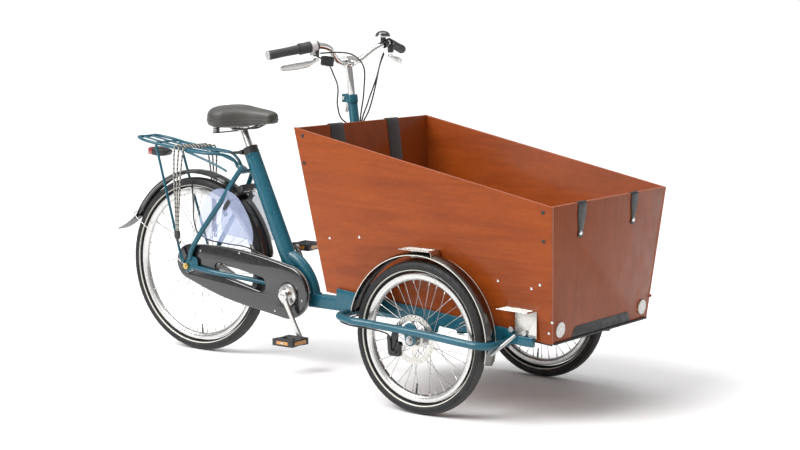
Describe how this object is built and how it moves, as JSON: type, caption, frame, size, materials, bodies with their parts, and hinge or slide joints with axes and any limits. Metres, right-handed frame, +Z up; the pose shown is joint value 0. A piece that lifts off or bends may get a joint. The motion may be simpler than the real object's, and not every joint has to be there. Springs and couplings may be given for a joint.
{
  "type": "cargo tricycle",
  "caption": "Pedal cargo tricycle: an open wooden box on a steering carriage with a wheel on each side, and a bicycle rear half with saddle, rack and chain drive.",
  "frame": {"origin": "on the ground, in the mid-plane, half-way along the overall length", "axes": "+X forwards, from the rear wheel to the box front; +Y to the rider's left; +Z up"},
  "size_m": [2.1783, 0.8978, 1.216],
  "materials": {
    "tyre": "matte black rubber",
    "frame_paint": "glossy petrol-blue enamel",
    "silver": "satin silver",
    "chrome": "polished chrome",
    "steel": "brushed stainless steel",
    "chain": "oiled steel",
    "black_gloss": "glossy black",
    "black_matte": "matte black",
    "black_metal": "black enamel",
    "flap": "grey patterned rubber",
    "grip": "dark grey rubber",
    "saddle": "black synthetic leather",
    "lens": "red lens over a dark housing",
    "wood": "varnished orange-brown plywood",
    "cord": "black elastic webbing"
  },
  "bodies": {
    "frame": {"main_frame": "frame_paint", "rear_stays": "frame_paint", "seat_clamp": "black_metal", "rear_rack": "frame_paint", "rack_strap": "cord", "rear_mudguard": "black_gloss", "mud_flap": "flap", "chain_case": "black_gloss", "chain": "chain", "tail_light": "lens", "ring_lock": "black_matte", "rear_axle": "steel", "drum_brake": "silver", "light_cable": "black_matte"},
    "carriage": {"carriage_frame": "frame_paint", "wheel_guard_right": "frame_paint", "wheel_guard_left": "frame_paint", "front_axle_right": "steel", "front_axle_left": "steel", "brake_caliper_right": "black_metal", "brake_caliper_left": "black_metal", "front_mudguard_right": "black_gloss", "front_mudguard_left": "black_gloss", "box_side_right": "wood", "box_side_left": "wood", "box_rear": "wood", "box_front": "wood", "box_floor": "wood", "steering_column": "frame_paint", "control_cables": "black_matte"},
    "rear_wheel": {"rear_tyre": "tyre", "rear_rim": "silver", "rear_hub_spokes": "silver"},
    "front_wheel_right": {"front_tyre_right": "tyre", "front_rim_right": "silver", "front_hub_spokes_right": "silver", "brake_disc_right": "steel"},
    "front_wheel_left": {"front_tyre_left": "tyre", "front_rim_left": "silver", "front_hub_spokes_left": "silver", "brake_disc_left": "steel"},
    "cranks": {"crankset": "silver"},
    "rear_sprocket": {"sprocket": "steel"},
    "right_pedal": {"pedal_right": "black_matte"},
    "left_pedal": {"pedal_left": "black_matte"},
    "seat": {"seat_post": "chrome", "saddle": "saddle", "saddle_rails": "black_metal"},
    "clamp_lever": {"seat_clamp_lever": "chrome"},
    "shackle": {"lock_shackle": "steel"},
    "bench": {"bench_seat": "wood"},
    "handlebar_assembly": {"stem": "chrome", "handlebar": "chrome", "grip_right": "grip", "grip_left": "grip"},
    "column_lever": {"stem_lever": "chrome"},
    "shifter": {"shifter_grip": "grip"},
    "right_lever": {"brake_lever_right": "steel"},
    "left_lever": {"brake_lever_left": "steel"},
    "bell_dome": {"bell": "black_metal"}
  },
  "joints": [
    {"name": "steering", "type": "hinge", "parent": "frame", "child": "carriage", "pos_m": [0.52, 0, 0.245], "axis": [0, 0, 1], "range_deg": [-35, 35]},
    {"name": "rear_wheel_spin", "type": "hinge", "parent": "frame", "child": "rear_wheel", "pos_m": [-0.68, 0, 0.3265], "axis": [0, 1, 0], "continuous": true},
    {"name": "front_wheel_right_spin", "type": "hinge", "parent": "carriage", "child": "front_wheel_right", "pos_m": [0.605, -0.367, 0.25], "axis": [0, 1, 0], "continuous": true},
    {"name": "front_wheel_left_spin", "type": "hinge", "parent": "carriage", "child": "front_wheel_left", "pos_m": [0.605, 0.367, 0.25], "axis": [0, 1, 0], "continuous": true},
    {"name": "crank_turn", "type": "hinge", "parent": "frame", "child": "cranks", "pos_m": [-0.202, 0, 0.265], "axis": [0, 1, 0], "continuous": true},
    {"name": "sprocket_turn", "type": "hinge", "parent": "frame", "child": "rear_sprocket", "pos_m": [-0.68, 0, 0.3265], "axis": [0, 1, 0], "continuous": true},
    {"name": "pedal_right_turn", "type": "hinge", "parent": "cranks", "child": "right_pedal", "pos_m": [-0.122, -0.145, 0.11727], "axis": [0, 1, 0], "continuous": true},
    {"name": "pedal_left_turn", "type": "hinge", "parent": "cranks", "child": "left_pedal", "pos_m": [-0.282, 0.145, 0.41273], "axis": [0, 1, 0], "continuous": true},
    {"name": "seat_height", "type": "slide", "parent": "frame", "child": "seat", "axis": [-0.4216, 0, 0.9068], "range_m": [-0.03, 0.1]},
    {"name": "seat_clamp_turn", "type": "hinge", "parent": "frame", "child": "clamp_lever", "pos_m": [-0.4609, 0, 0.76], "axis": [0, 1, 0], "range_deg": [0, 100]},
    {"name": "lock_close", "type": "hinge", "parent": "frame", "child": "shackle", "pos_m": [-0.49099, 0, 0.56842], "axis": [-0.788, 0, 0.6157], "range_deg": [0, 76]},
    {"name": "bench_lift", "type": "hinge", "parent": "carriage", "child": "bench", "pos_m": [0.15696, 0, 0.6075], "axis": [0, -1, 0], "range_deg": [0, 85]},
    {"name": "handlebar_height", "type": "slide", "parent": "carriage", "child": "handlebar_assembly", "axis": [-0.1384, 0, 0.9904], "range_m": [-0.03, 0.06], "deforming": ["control_cables"]},
    {"name": "stem_lever_turn", "type": "hinge", "parent": "carriage", "child": "column_lever", "pos_m": [0.01174, 0, 0.978], "axis": [0, 1, 0], "range_deg": [0, 100]},
    {"name": "shifter_twist", "type": "hinge", "parent": "handlebar_assembly", "child": "shifter", "pos_m": [0.03117, -0.24911, 1.15879], "axis": [-0.3739, -0.9135, -0.1603], "range_deg": [-60, 60]},
    {"name": "brake_lever_right_pull", "type": "hinge", "parent": "handlebar_assembly", "child": "right_lever", "pos_m": [0.05125, -0.21183, 1.11868], "axis": [-0.9255, 0.3788, 0], "range_deg": [0, 9], "stiffness_Nm_per_rad": 4},
    {"name": "brake_lever_left_pull", "type": "hinge", "parent": "handlebar_assembly", "child": "left_lever", "pos_m": [0.05125, 0.21183, 1.11868], "axis": [0.9255, 0.3788, 0], "range_deg": [0, 9], "stiffness_Nm_per_rad": 4},
    {"name": "bell_twist", "type": "hinge", "parent": "handlebar_assembly", "child": "bell_dome", "pos_m": [0.049, 0.168, 1.192], "axis": [0, 0, 1], "range_deg": [-45, 45], "stiffness_Nm_per_rad": 0.4}
  ],
  "couplings": [
    {"joint": "sprocket_turn", "follows": "crank_turn", "ratio": 2.1111}
  ]
}
